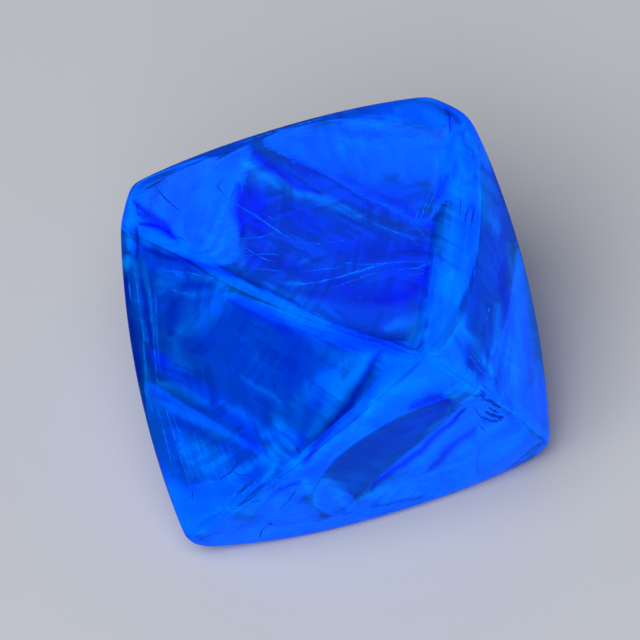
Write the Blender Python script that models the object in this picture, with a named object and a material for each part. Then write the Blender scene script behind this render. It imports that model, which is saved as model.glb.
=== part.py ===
"""Rough diamond: one octahedral crystal with bulging, growth-stepped faces, lying on its flat base face.

A block is cleaved, plane after plane, until the rounded octahedron is left. Each cut touches the
crystal's true surface, which the functions below describe: eight {111} faces, each a wide dome with a
flat plateau in its middle, twelve {110} edge facets, and a small rounding where the faces meet.
"""

import itertools
import math
from collections import namedtuple

import bmesh
import bpy
from mathutils import Matrix, Vector

MM = 0.001

Face = namedtuple("Face", "indices crown plateau_drop dome_radius dome_shift")

# The crystal's own axes: a ends in the blunt left corner, b in the front corner and c in the rear
# right corner. A face is named for the side it looks to, and its indices are the signs of its {111}
# normal. Its dome is part of a ball: dome_radius says how little it bulges, crown is the distance
# from the crystal's middle to its crown, and dome_shift slides the ball along the face, towards the
# c axis and across it. The last growth layer leaves a flat plateau, plateau_drop below the crown.
FACES = {
    "top": Face((1, 1, 1), 3.04 * MM, 0.20 * MM, 17.9 * MM, (-0.21 * MM, -0.22 * MM)),
    "base": Face((-1, -1, -1), 2.73 * MM, 0.08 * MM, 19.9 * MM, (-0.18 * MM, 0.56 * MM)),
    "front_left": Face((1, 1, -1), 3.28 * MM, 0.00 * MM, 13.7 * MM, (-0.24 * MM, 0.58 * MM)),
    "rear_right": Face((-1, -1, 1), 2.83 * MM, 0.09 * MM, 16.1 * MM, (-0.10 * MM, -0.34 * MM)),
    "front_low": Face((-1, 1, -1), 2.68 * MM, 0.13 * MM, 15.6 * MM, (0.53 * MM, 0.07 * MM)),
    "rear_high": Face((1, -1, 1), 3.46 * MM, 0.09 * MM, 18.1 * MM, (-0.46 * MM, 0.28 * MM)),
    "right": Face((-1, 1, 1), 2.96 * MM, 0.00 * MM, 15.8 * MM, (0.17 * MM, 0.00 * MM)),
    "rear_left": Face((1, -1, -1), 3.02 * MM, 0.00 * MM, 17.7 * MM, (-0.58 * MM, -0.37 * MM)),
}

# {110} facets on the worn edges, and their distance from the middle.
EDGE_FACETS = {
    (1, 1, 0): 3.56 * MM,
    (1, -1, 0): 3.99 * MM,
    (-1, 1, 0): 3.45 * MM,
    (-1, -1, 0): 3.68 * MM,
    (1, 0, 1): 3.76 * MM,
    (1, 0, -1): 4.18 * MM,
    (-1, 0, 1): 3.89 * MM,
    (-1, 0, -1): 3.17 * MM,
    (0, 1, 1): 3.22 * MM,
    (0, 1, -1): 3.76 * MM,
    (0, -1, 1): 4.39 * MM,
    (0, -1, -1): 3.16 * MM,
}

SHARPNESS = 60.0             # higher is sharper where two faces meet
TURN = math.radians(143.56)  # turn about the vertical, so that the front corner looks along -Y

# Where the cuts touch the surface.
DOME_STEPS = 9               # a face's cuts lie in a triangular net, this many steps to a side
RIDGE_STEPS = 12
RIDGE_HALF_LENGTH = 3.0 * MM
RIDGE_ACROSS = (-0.04, -0.013, 0.0, 0.013, 0.04)   # radians to each side of the ridge
CORNER_RINGS = ((0.0, 1), (0.055, 4), (0.12, 6))   # radians from the corner, and how many round it

BLOCK_SIZE = 14.0 * MM
NUDGE = 1e-5                 # step for measuring the slope of the surface
SHORTEST_EDGE = 0.012 * MM


def upright_matrix():
    """Turns crystal axes so that the top face is level and the front corner looks along -Y."""
    up = Vector((1, 1, 1)).normalized()
    side = Vector((1, -1, 0)).normalized()
    back = up.cross(side)
    return Matrix.Rotation(TURN, 3, "Z") @ Matrix((side, back, up))


UPRIGHT = upright_matrix()


def to_world(indices):
    return (UPRIGHT @ Vector(indices)).normalized()


def dome_centre(face):
    """Middle of the ball that a face's dome is part of."""
    normal = to_world(face.indices)
    c_axis = to_world((0, 0, 1))
    towards_c = (c_axis - normal * c_axis.dot(normal)).normalized()
    across = normal.cross(towards_c)
    slide = towards_c * face.dome_shift[0] + across * face.dome_shift[1]
    return normal * (face.crown - face.dome_radius) + slide


def dome_reach(direction, face):
    """Distance from the crystal's middle to the dome of one face, along a unit direction."""
    centre = dome_centre(face)
    along = direction.dot(centre)
    return along + math.sqrt(along * along - centre.length_squared + face.dome_radius ** 2)


def plateau_reach(direction, face):
    """Distance along a unit direction to the flat plateau of one face."""
    return (face.crown - face.plateau_drop) / max(direction.dot(to_world(face.indices)), 1e-6)


def surface_terms(direction):
    """One number for each face and edge facet: the inverse of its distance along the direction."""
    terms = []
    for face in FACES.values():
        terms.append(1.0 / min(dome_reach(direction, face), plateau_reach(direction, face)))
    for indices, distance in EDGE_FACETS.items():
        terms.append(max(direction.dot(to_world(indices)), 0.0) / distance)
    return terms


def surface_reach(direction):
    """Distance from the middle to the crystal's surface, with the meeting faces blended."""
    terms = surface_terms(direction)
    nearest = max(terms)
    blended = sum((term / nearest) ** SHARPNESS for term in terms) ** (1.0 / SHARPNESS)
    return 1.0 / (nearest * blended)


def touching_plane(direction):
    """A point of the surface and the outward normal of the plane that touches it there."""
    direction = direction.normalized()
    sideways = direction.orthogonal().normalized()
    other = direction.cross(sideways)
    points = []
    for offset in (sideways * NUDGE, other * NUDGE, sideways * -NUDGE, other * -NUDGE):
        turned = (direction + offset).normalized()
        points.append(turned * surface_reach(turned))
    normal = (points[0] - points[2]).cross(points[1] - points[3]).normalized()
    if normal.dot(direction) < 0.0:
        normal.negate()
    return direction * surface_reach(direction), normal


def on_plateau(direction, face):
    """Whether a direction meets the flat middle of a face, where no further cut is wanted."""
    return plateau_reach(direction, face) < dome_reach(direction, face)


def dome_directions(face):
    """A triangular net of directions over one face, with whole-number crystal indices, off its plateau."""
    for first in range(1, DOME_STEPS):
        for second in range(1, DOME_STEPS - first):
            third = DOME_STEPS - first - second
            steps = (first, second, third)
            direction = to_world([step * sign for step, sign in zip(steps, face.indices)])
            if not on_plateau(direction, face):
                yield direction


def corner_directions():
    """Rings of directions about the six corners."""
    for axis in range(3):
        for sign in (1, -1):
            indices = [0, 0, 0]
            indices[axis] = sign
            corner = to_world(indices)
            sideways = corner.orthogonal().normalized()
            for tilt, count in CORNER_RINGS:
                leaned = Matrix.Rotation(tilt, 3, sideways) @ corner
                for step in range(count):
                    yield Matrix.Rotation(math.tau * step / count, 3, corner) @ leaned


def ridge_directions(first, second):
    """Directions along, and a little to both sides of, the arc where the domes of two faces meet."""
    start = dome_centre(first)
    gap = dome_centre(second) - start
    across = gap.normalized()
    along_gap = (gap.length_squared + first.dome_radius ** 2 - second.dome_radius ** 2) / (2 * gap.length)
    arc_centre = start + across * along_gap
    arc_radius = math.sqrt(first.dome_radius ** 2 - along_gap ** 2)
    middle = to_world(first.indices) + to_world(second.indices)
    middle = (middle - across * middle.dot(across)).normalized()
    forward = across.cross(middle)
    for step in range(RIDGE_STEPS):
        turn = RIDGE_HALF_LENGTH * (2.0 * step / (RIDGE_STEPS - 1) - 1.0) / arc_radius
        point = arc_centre + (middle * math.cos(turn) + forward * math.sin(turn)) * arc_radius
        for lean in RIDGE_ACROSS:
            yield (point.normalized() + across * lean).normalized()


def neighbours():
    """The twelve pairs of faces that share a ridge: their indices differ in one sign."""
    for first, second in itertools.combinations(FACES.values(), 2):
        if sum(a == b for a, b in zip(first.indices, second.indices)) == 2:
            yield first, second


def cleave(crystal, point, normal):
    """Splits the crystal along a plane, drops what lies outside and closes the new face."""
    geometry = crystal.verts[:] + crystal.edges[:] + crystal.faces[:]
    cut = bmesh.ops.bisect_plane(
        crystal, geom=geometry, dist=1e-8, plane_co=point, plane_no=normal, clear_outer=True
    )
    rim = [item for item in cut["geom_cut"] if isinstance(item, bmesh.types.BMEdge)]
    if len(rim) > 2:
        bmesh.ops.contextual_create(crystal, geom=rim)


def cleaved_crystal():
    crystal = bmesh.new()
    bmesh.ops.create_cube(crystal, size=BLOCK_SIZE)
    directions = []
    for face in FACES.values():
        normal = to_world(face.indices)
        cleave(crystal, normal * (face.crown - face.plateau_drop), normal)
        directions += dome_directions(face)
    for first, second in neighbours():
        directions += ridge_directions(first, second)
    directions += corner_directions()
    for direction in directions:
        cleave(crystal, *touching_plane(direction))
    bmesh.ops.remove_doubles(crystal, verts=crystal.verts[:], dist=SHORTEST_EDGE)
    bmesh.ops.triangulate(crystal, faces=[face for face in crystal.faces if len(face.verts) > 3])
    bmesh.ops.recalc_face_normals(crystal, faces=crystal.faces[:])
    return crystal


def stand_on_origin(crystal):
    """Moves the crystal so that its base lies on Z = 0, with the middle of its box over the origin."""
    low = [min(vert.co[axis] for vert in crystal.verts) for axis in range(3)]
    high = [max(vert.co[axis] for vert in crystal.verts) for axis in range(3)]
    shift = Vector((-(low[0] + high[0]) / 2, -(low[1] + high[1]) / 2, -low[2]))
    bmesh.ops.translate(crystal, vec=shift, verts=crystal.verts[:])


def diamond_material():
    """Clear diamond that glows azure under ultraviolet light."""
    material = bpy.data.materials.new("fluorescent_diamond")
    material.use_nodes = True
    shader = material.node_tree.nodes["Principled BSDF"]
    shader.inputs["Base Color"].default_value = (0.01, 0.18, 0.95, 1.0)
    shader.inputs["Roughness"].default_value = 0.04
    shader.inputs["Metallic"].default_value = 0.0
    shader.inputs["IOR"].default_value = 2.417
    return material


def build():
    for item in list(bpy.data.objects):
        bpy.data.objects.remove(item, do_unlink=True)
    collection = bpy.data.collections.new("rough_diamond")
    bpy.context.scene.collection.children.link(collection)
    crystal = cleaved_crystal()
    stand_on_origin(crystal)
    mesh = bpy.data.meshes.new("diamond_crystal")
    crystal.to_mesh(mesh)
    crystal.free()
    mesh.materials.append(diamond_material())
    diamond = bpy.data.objects.new("diamond_crystal", mesh)
    collection.objects.link(diamond)


build()
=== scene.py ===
"""Rough diamond: an uncut octahedral crystal, clear and glowing azure, with growth lines and specks.

The crystal's form follows one rule, which the node group "crystal surface" holds: eight domed {111}
faces, five of them with a flat plateau, twelve {110} edge facets, and a small rounding where they
meet. The rule is written in the crystal's own axes. a ends in the blunt left corner, b in the front
corner and c in the rear right corner, and a face is named for the side it looks to.
"""

import itertools
import math
from collections import namedtuple

import bmesh
import bpy
import numpy as np
from bpy.props import FloatProperty, FloatVectorProperty, IntProperty, PointerProperty
from mathutils import Matrix, Vector
from mathutils.bvhtree import BVHTree


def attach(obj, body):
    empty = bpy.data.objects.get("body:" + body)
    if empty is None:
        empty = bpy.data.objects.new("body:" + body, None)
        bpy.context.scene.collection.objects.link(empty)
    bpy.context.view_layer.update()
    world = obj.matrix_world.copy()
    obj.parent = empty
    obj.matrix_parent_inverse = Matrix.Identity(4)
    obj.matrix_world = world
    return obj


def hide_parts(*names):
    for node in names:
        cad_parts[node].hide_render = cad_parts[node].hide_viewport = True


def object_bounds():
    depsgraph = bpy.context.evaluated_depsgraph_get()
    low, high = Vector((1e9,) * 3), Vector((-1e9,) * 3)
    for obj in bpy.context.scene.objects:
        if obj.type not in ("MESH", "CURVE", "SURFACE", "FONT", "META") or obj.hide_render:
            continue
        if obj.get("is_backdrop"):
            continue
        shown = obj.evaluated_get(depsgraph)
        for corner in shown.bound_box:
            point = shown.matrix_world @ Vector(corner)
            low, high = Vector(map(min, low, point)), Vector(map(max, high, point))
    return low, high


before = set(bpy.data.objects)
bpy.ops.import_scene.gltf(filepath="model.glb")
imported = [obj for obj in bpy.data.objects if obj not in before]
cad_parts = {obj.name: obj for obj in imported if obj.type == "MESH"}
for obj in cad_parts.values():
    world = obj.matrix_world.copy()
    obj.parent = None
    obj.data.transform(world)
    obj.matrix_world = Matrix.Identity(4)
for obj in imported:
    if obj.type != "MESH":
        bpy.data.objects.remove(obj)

bl_info = {
    "name": "Rough Diamond",
    "version": (1, 0, 0),
    "blender": (4, 5, 0),
    "location": "3D View > Sidebar > Diamond",
    "description": "Grows a rough octahedral diamond with its fine surface and what is sealed in it",
    "category": "Add Mesh",
}

MM = 0.001

# Defaults of the crystal's settings.
DETAIL = 7               # how often the octahedron is divided
SHARPNESS = 60.0         # higher is sharper where two faces meet
GROWTH_LAYERS = 14.0     # layers that end on each face
STEP_HEIGHT = 0.002      # mm, of the tallest growth step

# --- The crystal's form, in millimetres and crystal axes ---

# A face's dome is part of a ball, which dome_shift slides along the face, towards the c axis and
# across it. crown is the distance from the crystal's middle to the dome's top, and the last growth
# layer leaves a flat plateau, plateau_drop below the crown.
Face = namedtuple("Face", "indices crown plateau_drop dome_radius dome_shift")

FACES = {
    "top": Face((1, 1, 1), 3.04, 0.20, 17.9, (-0.21, -0.22)),
    "base": Face((-1, -1, -1), 2.73, 0.08, 19.9, (-0.18, 0.56)),
    "front_left": Face((1, 1, -1), 3.28, 0.00, 13.7, (-0.24, 0.58)),
    "rear_right": Face((-1, -1, 1), 2.83, 0.09, 16.1, (-0.10, -0.34)),
    "front_low": Face((-1, 1, -1), 2.68, 0.13, 15.6, (0.53, 0.07)),
    "rear_high": Face((1, -1, 1), 3.46, 0.09, 18.1, (-0.46, 0.28)),
    "right": Face((-1, 1, 1), 2.96, 0.00, 15.8, (0.17, 0.00)),
    "rear_left": Face((1, -1, -1), 3.02, 0.00, 17.7, (-0.58, -0.37)),
}

# Indices of the facets on the worn edges, and their distance from the crystal's middle.
EDGE_FACETS = {
    (1, 1, 0): 3.56,
    (1, -1, 0): 3.99,
    (-1, 1, 0): 3.45,
    (-1, -1, 0): 3.68,
    (1, 0, 1): 3.76,
    (1, 0, -1): 4.18,
    (-1, 0, 1): 3.89,
    (-1, 0, -1): 3.17,
    (0, 1, 1): 3.22,
    (0, 1, -1): 3.76,
    (0, -1, 1): 4.39,
    (0, -1, -1): 3.16,
}

MIDDLE = Vector((0.107, -0.205, 2.65))   # where the crystal's middle stands over the origin
TURN = math.radians(143.56)              # turn about the vertical: the front corner looks along -Y


def upright_matrix():
    """Turns crystal axes so that the top face is level."""
    up = Vector((1, 1, 1)).normalized()
    side = Vector((1, -1, 0)).normalized()
    return Matrix.Rotation(TURN, 3, "Z") @ Matrix((side, up.cross(side), up))


def dome_centre(face):
    """Middle of the ball that a face's dome is part of, in crystal axes."""
    normal = Vector(face.indices).normalized()
    c_axis = Vector((0, 0, 1))
    towards_c = (c_axis - normal * c_axis.dot(normal)).normalized()
    slide, across = face.dome_shift
    return normal * (face.crown - face.dome_radius) + towards_c * slide + normal.cross(towards_c) * across


# --- The camera's view ---

VIEW_SIZE = 640                          # pixels, across and down
VIEW_MIDDLE = (342.8, 339.6)             # the pixel that shows the crystal's middle
PIXELS_PER_MM = 59.71                    # at the crystal's middle
CAMERA_RISE = math.radians(44.93)
CAMERA_DISTANCE = 0.24                   # metres, from the crystal's middle
FOCAL_PIXELS = PIXELS_PER_MM * CAMERA_DISTANCE / MM
SENSOR = 36.0                            # mm


def camera_axes():
    """Unit vectors from the crystal to the camera, to the right of its view and up in it."""
    outward = Vector((0.0, -math.cos(CAMERA_RISE), math.sin(CAMERA_RISE)))
    right = Vector((1.0, 0.0, 0.0))
    return outward, right, outward.cross(right)


def camera_place():
    """Where the camera stands, so that the crystal's middle shows where it should."""
    outward, right, up = camera_axes()
    across, down = ((pixel - VIEW_SIZE / 2) / PIXELS_PER_MM * MM for pixel in VIEW_MIDDLE)
    return MIDDLE * MM - right * across + up * down + outward * CAMERA_DISTANCE


def spots_in_view(places):
    """Pixels that show places; both are arrays with one row for each."""
    outward, right, up = (np.array(axis) for axis in camera_axes())
    offsets = places - np.array(camera_place())
    depth = -offsets @ outward
    across = VIEW_SIZE / 2 + FOCAL_PIXELS * (offsets @ right) / depth
    down = VIEW_SIZE / 2 - FOCAL_PIXELS * (offsets @ up) / depth
    return np.stack((across, down), axis=1)


def place_on_crystal(surface, spot):
    """The place on the crystal that a pixel shows."""
    outward, right, up = camera_axes()
    across, down = (pixel - VIEW_SIZE / 2 for pixel in spot)
    sight = right * across - up * down - outward * FOCAL_PIXELS
    place = surface.ray_cast(camera_place(), sight.normalized())[0]
    if place is None:
        raise RuntimeError(f"the pixel {spot} shows no part of the crystal")
    return place


# --- Bands of painted glow and painted shade ---

# Bands of painted light and shade on the crystal: a band above zero adds painted glow where the stone
# looks brighter, and one below zero is painted shade that darkens its colour and glow. Each is a soft
# band
# over the surface: its half width in pixels, how much of the glow it adds, or takes away where that is
# below zero, and the pixels that its middle runs through.
GLOW_AND_SHADE_BANDS = (
    # rim of the window in the top face
    (6, 2.0, (246, 164), (262, 174), (300, 189), (335, 205), (362, 217)),
    (9, 1.6, (246, 161), (258, 175), (277, 186)),
    (7, -1.0, (239, 186), (238, 212), (242, 236)),
    (9, 1.1, (224, 192), (216, 215), (206, 245)),
    (6, 0.6, (190, 200), (184, 212)),
    (4, 1.4, (241, 238), (243, 272)),
    (4, 0.8, (262, 283), (287, 298)),
    (4.5, -0.8, (250, 147), (264, 160), (280, 173), (296, 184), (320, 194)),
    (5, -0.5, (285, 157), (320, 172), (350, 184)),
    (9, -0.6, (340, 178), (370, 192), (400, 209), (432, 227)),
    (7, -0.75, (436, 201), (441, 189), (447, 178)),
    # window in the top face
    (16, -0.8, (248, 190), (256, 212), (262, 232)),
    (15, -0.45, (285, 208), (315, 228)),
    (9, -0.5, (250, 250), (275, 262), (300, 268)),
    (14, -0.45, (330, 245), (380, 252), (425, 250)),
    (8, -0.5, (298, 273), (322, 279), (348, 284)),
    (8, -0.5, (310, 292), (350, 298), (380, 306)),
    (10, -0.6, (340, 288), (368, 293), (392, 292)),
    (8, -0.9, (376, 302), (402, 296), (419, 284), (427, 270)),
    (5, -0.3, (385, 304), (416, 300)),
    (17, -0.45, (388, 284), (406, 270), (420, 250)),
    (3, 0.9, (296, 270), (303, 261), (312, 266)),
    (2.5, 2.2, (281, 282), (304, 284)),
    # far side of the top face
    (8, 0.8, (320, 128), (324, 140), (328, 158)),
    (4, 0.7, (285, 135), (310, 130), (340, 124)),
    (5, 0.7, (340, 146), (352, 165)),
    (6, 1.9, (385, 117), (410, 123), (431, 130)),
    (13, 1.8, (400, 108), (424, 108), (440, 122)),
    (8, 1.2, (426, 112), (440, 120), (446, 138)),
    (3.5, -0.6, (448, 108), (450, 130)),
    (9, 0.8, (370, 120), (400, 136), (436, 140)),
    (4, -0.3, (290, 165), (318, 176)),
    (6, 0.9, (286, 186), (310, 196)),
    # round the front corner
    (8, 2.0, (388, 329), (408, 322), (426, 314)),
    (7, 2.0, (408, 340), (428, 332)),
    (9, 2.3, (437, 350), (449, 333), (462, 315)),
    (7, 1.0, (452, 270), (455, 292), (458, 312)),
    (10, 1.6, (430, 352), (448, 370), (470, 388)),
    (8, 2.2, (445, 392), (462, 394), (478, 393)),
    (12, 1.6, (396, 364), (383, 390), (364, 418)),
    (9, 1.2, (375, 400), (400, 388), (425, 380)),
    (6, 0.9, (345, 440), (370, 425)),
    (7, 1.0, (396, 324), (412, 330), (424, 322)),
    (6, 1.0, (424, 300), (430, 318)),
    (5, 1.0, (468, 392), (488, 386)),
    # ridge from the rear right corner to the front corner
    (8, 1.7, (458, 140), (462, 175), (457, 205), (449, 240), (446, 285), (446, 305)),
    (6, -0.6, (472, 205), (474, 225), (468, 250)),
    (5, -0.35, (474, 250), (473, 285), (478, 320)),
    (6, 1.2, (453, 203), (445, 225), (438, 250)),
    (6, 2.4, (465, 133), (476, 152)),
    # right face
    (8, 1.7, (482, 172), (487, 195), (488, 215), (497, 232)),
    (4, 1.4, (480, 185), (482, 205), (482, 228)),
    (5, 1.0, (510, 245), (514, 290)),
    (4.5, 2.8, (465, 329), (474, 343), (484, 359), (492, 373)),
    (3, 1.8, (468, 368), (480, 383)),
    (5, 2.2, (496, 305), (497, 330), (492, 352)),
    (4, -0.6, (456, 336), (463, 351), (473, 371)),
    (8, 0.8, (513, 340), (517, 380)),
    (5, -0.45, (503, 262), (503, 290), (506, 318)),
    (6, 1.0, (508, 335), (510, 375), (505, 398)),
    (4, 0.6, (532, 365), (535, 385)),
    (4, 1.4, (498, 402), (520, 419), (540, 436)),
    # low front face
    (3, 1.2, (450, 408), (435, 425), (424, 437)),
    (4.5, -0.9, (465, 409), (445, 428), (420, 450), (395, 468), (370, 490)),
    (4.5, -0.8, (476, 427), (462, 439), (448, 453), (430, 471)),
    (7, 0.8, (500, 425), (470, 442), (450, 458)),
    (8, -0.85, (412, 407), (430, 399), (449, 400)),
    (3, 1.3, (328, 461), (350, 446), (376, 429)),
    (15, -0.35, (340, 468), (390, 437), (440, 410)),
    (5, 1.2, (320, 475), (345, 492)),
    (8, 1.2, (366, 497), (400, 494), (440, 483)),
    (5, 0.4, (420, 460), (430, 470)),
    # ridge from the front corner to the low left corner
    (5.5, -0.9, (379, 352), (367, 376), (350, 403), (326, 433), (303, 463)),
    (4, 1.2, (412, 362), (396, 378), (375, 402), (350, 430)),
    (5, -0.35, (371, 384), (364, 408)),
    (3, -0.6, (268, 500), (285, 488), (300, 482)),
    (5, -0.35, (280, 512), (305, 500)),
    (5, 1.3, (225, 513), (245, 508), (265, 500)),
    (5, 1.0, (238, 520), (252, 512)),
    (4, 1.2, (345, 432), (318, 455), (298, 470)),
    (5, 0.8, (300, 480), (312, 484), (330, 480)),
    (5, 1.3, (304, 480), (311, 494), (316, 513)),
    (10, -0.2, (325, 490), (330, 508)),
    (7, 1.0, (334, 486), (345, 500)),
    (6, 1.2, (282, 468), (300, 462), (312, 448)),
    (5, 1.2, (200, 534), (208, 530)),
    # window in the front left face
    (17, 3.0, (363, 356), (346, 376), (331, 394)),
    (8, 1.7, (339, 397), (325, 416), (311, 435)),
    (10, 1.5, (323, 378), (309, 391), (295, 405)),
    (7, 1.2, (338, 352), (328, 362)),
    (12, 2.4, (262, 462), (276, 446)),
    (6, 0.7, (278, 403), (278, 422), (276, 440)),
    (6, 0.8, (305, 398), (298, 420), (296, 440)),
    (7, 0.6, (262, 445), (285, 461)),
    (11, 2.4, (264, 434), (280, 430), (292, 444)),
    (9, 2.2, (270, 452), (284, 456), (297, 466)),
    (5, 2.0, (265, 482), (276, 464)),
    (6, 1.4, (225, 476), (250, 470)),
    (16, 2.5, (184, 448), (222, 462)),
    (8, 1.3, (190, 470), (232, 474)),
    (5, 1.2, (236, 472), (256, 462)),
    (7, 1.0, (180, 432), (190, 455)),
    (10, -0.3, (190, 492), (235, 488)),
    (6, 1.5, (160, 383), (182, 391), (206, 403)),
    (5, 0.9, (164, 404), (190, 417), (214, 430), (236, 441)),
    (6, -0.5, (168, 416), (195, 431), (222, 447)),
    (6, -0.6, (240, 435), (268, 455)),
    (6, 1.3, (222, 402), (243, 412), (257, 424), (262, 438)),
    (2.5, 1.4, (241, 376), (259, 389), (280, 402)),
    (5, 0.7, (236, 333), (250, 345), (259, 362)),
    (13, 1.5, (182, 332), (204, 313), (230, 294)),
    (6, 0.8, (181, 328), (173, 342), (179, 358), (194, 374)),
    (17, -0.35, (285, 328), (296, 352), (288, 382)),
    (8, -0.6, (232, 299), (262, 315), (292, 332)),
    (6, -0.3, (145, 386), (157, 394), (170, 404)),
    (9, -0.3, (184, 342), (205, 352)),
    (8, -0.45, (172, 300), (170, 332)),
    (4.5, -0.6, (162, 352), (165, 371)),
    # ridge from the blunt left corner to the low left corner
    (6, -0.75, (124, 278), (129, 330), (138, 388)),
    (4, 1.3, (134, 260), (138, 288), (142, 314), (145, 338)),
    (3, -0.7, (142, 280), (147, 310), (150, 345)),
    (3.5, 1.2, (143, 262), (148, 285), (152, 310), (153, 332)),
    (2.5, 1.5, (142, 338), (144, 362), (148, 392), (153, 410)),
    (7, -0.4, (150, 345), (155, 376)),
    (3, 1.0, (176, 430), (184, 450), (193, 480)),
    # ridge from the blunt left corner to the front corner
    (6, 1.6, (190, 275), (215, 280), (240, 288), (265, 300), (293, 313), (324, 323)),
    (4, -0.35, (203, 267), (238, 279), (272, 293), (300, 306)),
    (7, -0.45, (332, 324), (360, 334), (396, 342)),
    (6, 0.8, (300, 322), (322, 330), (338, 334)),
    (3, 0.7, (265, 283), (300, 302), (330, 319)),
    (6, 0.9, (296, 296), (318, 305), (338, 316)),
    (7, -0.6, (335, 342), (365, 346), (402, 349)),
    (8, -0.45, (320, 334), (365, 337), (402, 341)),
    (4, -0.8, (143, 249), (156, 251), (170, 256), (204, 266), (236, 277)),
    (3.5, -0.3, (178, 283), (195, 286), (210, 284)),
    (4, 1.6, (176, 291), (196, 295), (214, 290), (224, 283)),
    (6, 0.7, (312, 340), (325, 355)),
    # blunt left corner
    (3, 1.1, (131, 198), (131, 216), (129, 232)),
    (4.5, 2.0, (129, 234), (127, 247)),
    (5.5, 3.2, (126, 257), (127, 270)),
    (2.5, -0.85, (136, 226), (137, 240), (135, 261)),
    (4, -0.95, (135, 203), (144, 211), (153, 217), (163, 225), (172, 233)),
    (4.5, -0.8, (138, 213), (148, 219), (158, 223)),
    (5, -1.0, (139, 223), (150, 225), (160, 229), (168, 233), (176, 238)),
    (7, 1.0, (145, 240), (160, 242), (176, 249)),
    (5, 0.8, (141, 237), (150, 246)),
    (5, 0.8, (180, 240), (187, 253)),
    (8, 2.2, (160, 269), (170, 279), (182, 276)),
    (4, 1.4, (156, 284), (166, 286)),
    (3.5, 1.2, (159, 294), (167, 291)),
)

# Bands of painted deep blue glow, or of painted shade that takes blue away, in the same way.
BLUE_GLOW_AND_SHADE_BANDS = (
    # window in the top face
    (52, 0.95, (262, 213), (300, 235), (350, 262), (400, 286)),
    (18, 0.5, (255, 158), (258, 200), (260, 262)),
    (13, 0.4, (247, 225), (252, 272)),
    (19, 0.5, (412, 232), (404, 325)),
    (9, 0.6, (428, 218), (424, 325)),
    (12, 1.0, (258, 160), (320, 186), (380, 206), (432, 222)),
    (13, 1.2, (385, 188), (425, 198)),
    (11, 0.6, (300, 298), (345, 315), (400, 330)),
    (13, 0.4, (300, 216), (360, 236), (430, 242)),
    (12, 0.4, (243, 256), (290, 288)),
    (12, 0.5, (365, 308), (415, 318)),
    # far side of the top face
    (9, 0.5, (318, 136), (380, 114), (440, 108)),
    (10, 0.5, (398, 116), (440, 118)),
    (8, 0.4, (215, 155), (255, 141)),
    # window in the front left face
    (14, 0.9, (155, 355), (185, 380), (220, 408), (260, 436), (300, 440)),
    (13, 0.8, (170, 430), (190, 452), (225, 470), (265, 480)),
    (10, 0.6, (140, 245), (160, 265), (190, 272)),
    (40, 0.2, (165, 300), (200, 330), (250, 360), (300, 385)),
    (13, 0.4, (335, 365), (315, 405)),
    (12, 0.7, (222, 448), (262, 462), (300, 456)),
    (12, 0.4, (150, 264), (200, 290), (225, 312)),
    (7, -0.35, (142, 382), (165, 412)),
    (7, -0.4, (232, 291), (270, 308), (310, 326), (352, 341)),
    # ridge from the front corner to the low left corner
    (8, -0.6, (384, 350), (370, 376), (351, 404), (325, 434), (303, 461)),
    (10, -0.15, (300, 470), (350, 430), (400, 395)),
    (24, -0.15, (200, 520), (260, 510), (330, 500)),
    # low front face
    (13, -0.08, (335, 472), (390, 435), (430, 410)),
    (7, -0.5, (395, 418), (425, 402), (452, 394)),
    (7, -0.55, (355, 502), (400, 472), (440, 442), (475, 415)),
    (7, -0.4, (400, 490), (440, 462), (476, 430)),
    (16, -0.2, (200, 535), (300, 520), (400, 500), (500, 465)),
    # right face
    (12, 0.4, (486, 165), (500, 240), (503, 300), (480, 375)),
    (8, 0.4, (456, 298), (438, 345)),
    (8, -0.5, (514, 245), (532, 300), (542, 370)),
    (8, -0.4, (530, 455), (546, 425)),
    (5, -0.4, (466, 225), (464, 280)),
    # blunt left corner
    (9, -0.6, (130, 212), (162, 236)),
)

SHADE_BLUE_SHARE = 0.15         # how much of the blue a painted shade band takes, next to how much of the green
TIP_WIDTH = 0.45         # width of a band at its tips, as a share of its full width
TIP_ROUNDNESS = 0.7      # lower keeps a band wide for longer before its tips
SIDE_HARDNESS = 2.5      # higher is harder along a band's sides
FACING_FADE = 0.2        # bands fade where the surface faces the camera less than this

# Waves that lead the bands' routes astray a little: size in pixels, pixels across and down over which
# a wave turns by one radian, and its start.
WAVES_ACROSS = ((1.0, 13, 19, 0), (0.7, -11, 6, 0), (0.4, 4, 7, 0))
WAVES_DOWN = ((1.0, -17, 14, 2), (0.7, 7, 10, 0), (0.4, -6, 4, 0))


def band_share(spots, width, route):
    """How much each spot lies in a band: 1 along its middle, fading softly to its sides and its tips."""
    route = np.array(route, dtype=float)
    lengths = np.hypot(*(route[1:] - route[:-1]).T)
    covered = 0.0
    closest = np.full(len(spots), np.inf)
    for start, end, length in zip(route, route[1:], lengths):
        along = end - start
        share = np.clip((spots - start) @ along / length**2, 0.0, 1.0)
        gaps = spots - start - share[:, None] * along
        travelled = (covered + share * length) / lengths.sum()
        fullness = np.sin(np.pi * travelled) ** TIP_ROUNDNESS
        reach = width * (TIP_WIDTH + (1.0 - TIP_WIDTH) * fullness)
        closest = np.minimum(closest, np.hypot(gaps[:, 0], gaps[:, 1]) / reach)
        covered += length
    return np.exp(-(closest**SIDE_HARDNESS))


def wave_shift(spots, waves):
    x, y = spots.T
    return sum(size * np.sin(x / across + y / down + start) for size, across, down, start in waves)


def point_vectors(mesh, title):
    values = np.empty(len(mesh.vertices) * 3)
    mesh.vertices.foreach_get(title, values)
    return values.reshape(-1, 3)


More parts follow.
